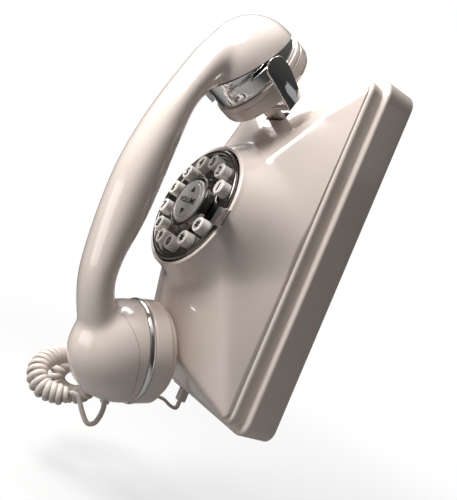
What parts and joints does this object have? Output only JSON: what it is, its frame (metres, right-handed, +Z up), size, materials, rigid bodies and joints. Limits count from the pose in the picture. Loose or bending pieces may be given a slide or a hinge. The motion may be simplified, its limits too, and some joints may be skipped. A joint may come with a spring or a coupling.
{
  "type": "wall telephone",
  "caption": "Ivory wall telephone with push buttons set in a round dial plate, a chrome hook fork, a curved handset and a coiled cord.",
  "frame": {"origin": "middle of the flat back face that lies against the wall", "axes": "+X towards the housing's right side as its user faces it, +Y into the wall, +Z up"},
  "size_m": [0.1306, 0.1173, 0.2556],
  "materials": {
    "ivory_plastic": "polished moulding",
    "chrome": "mirror plated",
    "silver_plastic": "satin metallic paint",
    "zinc_steel": "zinc plated",
    "black_plastic": "fine matt moulding",
    "grey_rubber": "matt",
    "circuit_board": "varnished laminate",
    "ivory_cord": "extruded jacket"
  },
  "bodies": {
    "housing": {"housing_cover": "ivory_plastic", "dial_rim": "chrome", "dial_plate": "chrome", "hub_ring": "chrome", "finger_stop": "chrome", "hook_pin": "zinc_steel", "hook_bracket": "zinc_steel", "hook_spring": "zinc_steel", "ringer_switch_body": "zinc_steel", "tone_switch_body": "zinc_steel", "board_screw_1": "zinc_steel", "board_screw_2": "zinc_steel", "board_screw_3": "zinc_steel", "board_screw_4": "zinc_steel", "dial_screw_1": "zinc_steel", "dial_screw_2": "zinc_steel", "dial_screw_3": "zinc_steel", "base_plate": "black_plastic", "line_transformer": "black_plastic", "line_capacitor": "black_plastic", "speech_chip": "black_plastic", "ringer": "black_plastic", "line_jack": "black_plastic", "handset_jack": "black_plastic", "hook_switch": "black_plastic", "contact_mat": "grey_rubber", "main_board": "circuit_board", "keypad_board": "circuit_board", "cord_tail_handset": "ivory_cord", "cord_coil": "ivory_cord", "cord_tail_housing": "ivory_cord", "cord_plug_housing": "ivory_cord"},
    "handset": {"handset_shell": "ivory_plastic", "ear_ring": "chrome", "ear_cap": "ivory_plastic", "receiver": "black_plastic", "mouth_ring": "chrome", "mouth_cap": "ivory_plastic", "microphone": "black_plastic", "mouth_socket": "black_plastic", "cord_plug_handset": "ivory_cord"},
    "hook": {"hook_yoke": "chrome", "hook_lever": "zinc_steel"},
    "volume": {"volume_button": "silver_plastic"},
    "ringer_slide": {"ringer_slider": "black_plastic"},
    "tone_slide": {"tone_slider": "black_plastic"},
    "key_1": {"button_1": "ivory_plastic"},
    "key_2": {"button_2": "ivory_plastic"},
    "key_3": {"button_3": "ivory_plastic"},
    "key_4": {"button_4": "ivory_plastic"},
    "key_5": {"button_5": "ivory_plastic"},
    "key_6": {"button_6": "ivory_plastic"},
    "key_7": {"button_7": "ivory_plastic"},
    "key_8": {"button_8": "ivory_plastic"},
    "key_9": {"button_9": "ivory_plastic"},
    "key_0": {"button_0": "ivory_plastic"},
    "key_star": {"button_star": "ivory_plastic"},
    "key_hash": {"button_hash": "ivory_plastic"}
  },
  "joints": [
    {"name": "handset_lift", "type": "slide", "parent": "housing", "child": "handset", "axis": [0, 0, 1], "range_m": [0, 0.005]},
    {"name": "hook_rise", "type": "hinge", "parent": "housing", "child": "hook", "pos_m": [0, -0.011, 0.0606], "axis": [-1, 0, 0], "range_deg": [0, 3.13], "stiffness_Nm_per_rad": 0.3, "springref_deg": 11.46, "deforming": ["hook_spring"]},
    {"name": "volume_rock", "type": "hinge", "parent": "housing", "child": "volume", "pos_m": [0, -0.0674, 0.0026], "axis": [1, 0, 0], "range_deg": [-4, 4], "stiffness_Nm_per_rad": 0.2},
    {"name": "ringer_set", "type": "slide", "parent": "housing", "child": "ringer_slide", "axis": [1, 0, 0], "range_m": [0, 0.005]},
    {"name": "tone_set", "type": "slide", "parent": "housing", "child": "tone_slide", "axis": [1, 0, 0], "range_m": [0, 0.005]},
    {"name": "press_1", "type": "slide", "parent": "housing", "child": "key_1", "axis": [0, 0.991, -0.134], "range_m": [0, 0.0015], "stiffness_N_per_m": 600},
    {"name": "press_2", "type": "slide", "parent": "housing", "child": "key_2", "axis": [0, 0.991, -0.134], "range_m": [0, 0.0015], "stiffness_N_per_m": 600},
    {"name": "press_3", "type": "slide", "parent": "housing", "child": "key_3", "axis": [0, 0.991, -0.134], "range_m": [0, 0.0015], "stiffness_N_per_m": 600},
    {"name": "press_4", "type": "slide", "parent": "housing", "child": "key_4", "axis": [0, 0.991, -0.134], "range_m": [0, 0.0015], "stiffness_N_per_m": 600},
    {"name": "press_5", "type": "slide", "parent": "housing", "child": "key_5", "axis": [0, 0.991, -0.134], "range_m": [0, 0.0015], "stiffness_N_per_m": 600},
    {"name": "press_6", "type": "slide", "parent": "housing", "child": "key_6", "axis": [0, 0.991, -0.134], "range_m": [0, 0.0015], "stiffness_N_per_m": 600},
    {"name": "press_7", "type": "slide", "parent": "housing", "child": "key_7", "axis": [0, 0.991, -0.134], "range_m": [0, 0.0015], "stiffness_N_per_m": 600},
    {"name": "press_8", "type": "slide", "parent": "housing", "child": "key_8", "axis": [0, 0.991, -0.134], "range_m": [0, 0.0015], "stiffness_N_per_m": 600},
    {"name": "press_9", "type": "slide", "parent": "housing", "child": "key_9", "axis": [0, 0.991, -0.134], "range_m": [0, 0.0015], "stiffness_N_per_m": 600},
    {"name": "press_0", "type": "slide", "parent": "housing", "child": "key_0", "axis": [0, 0.991, -0.134], "range_m": [0, 0.0015], "stiffness_N_per_m": 600},
    {"name": "press_star", "type": "slide", "parent": "housing", "child": "key_star", "axis": [0, 0.991, -0.134], "range_m": [0, 0.0015], "stiffness_N_per_m": 600},
    {"name": "press_hash", "type": "slide", "parent": "housing", "child": "key_hash", "axis": [0, 0.991, -0.134], "range_m": [0, 0.0015], "stiffness_N_per_m": 600}
  ],
  "couplings": [
    {"joint": "hook_rise", "follows": "handset_lift", "rad_per_m": 10.9}
  ]
}
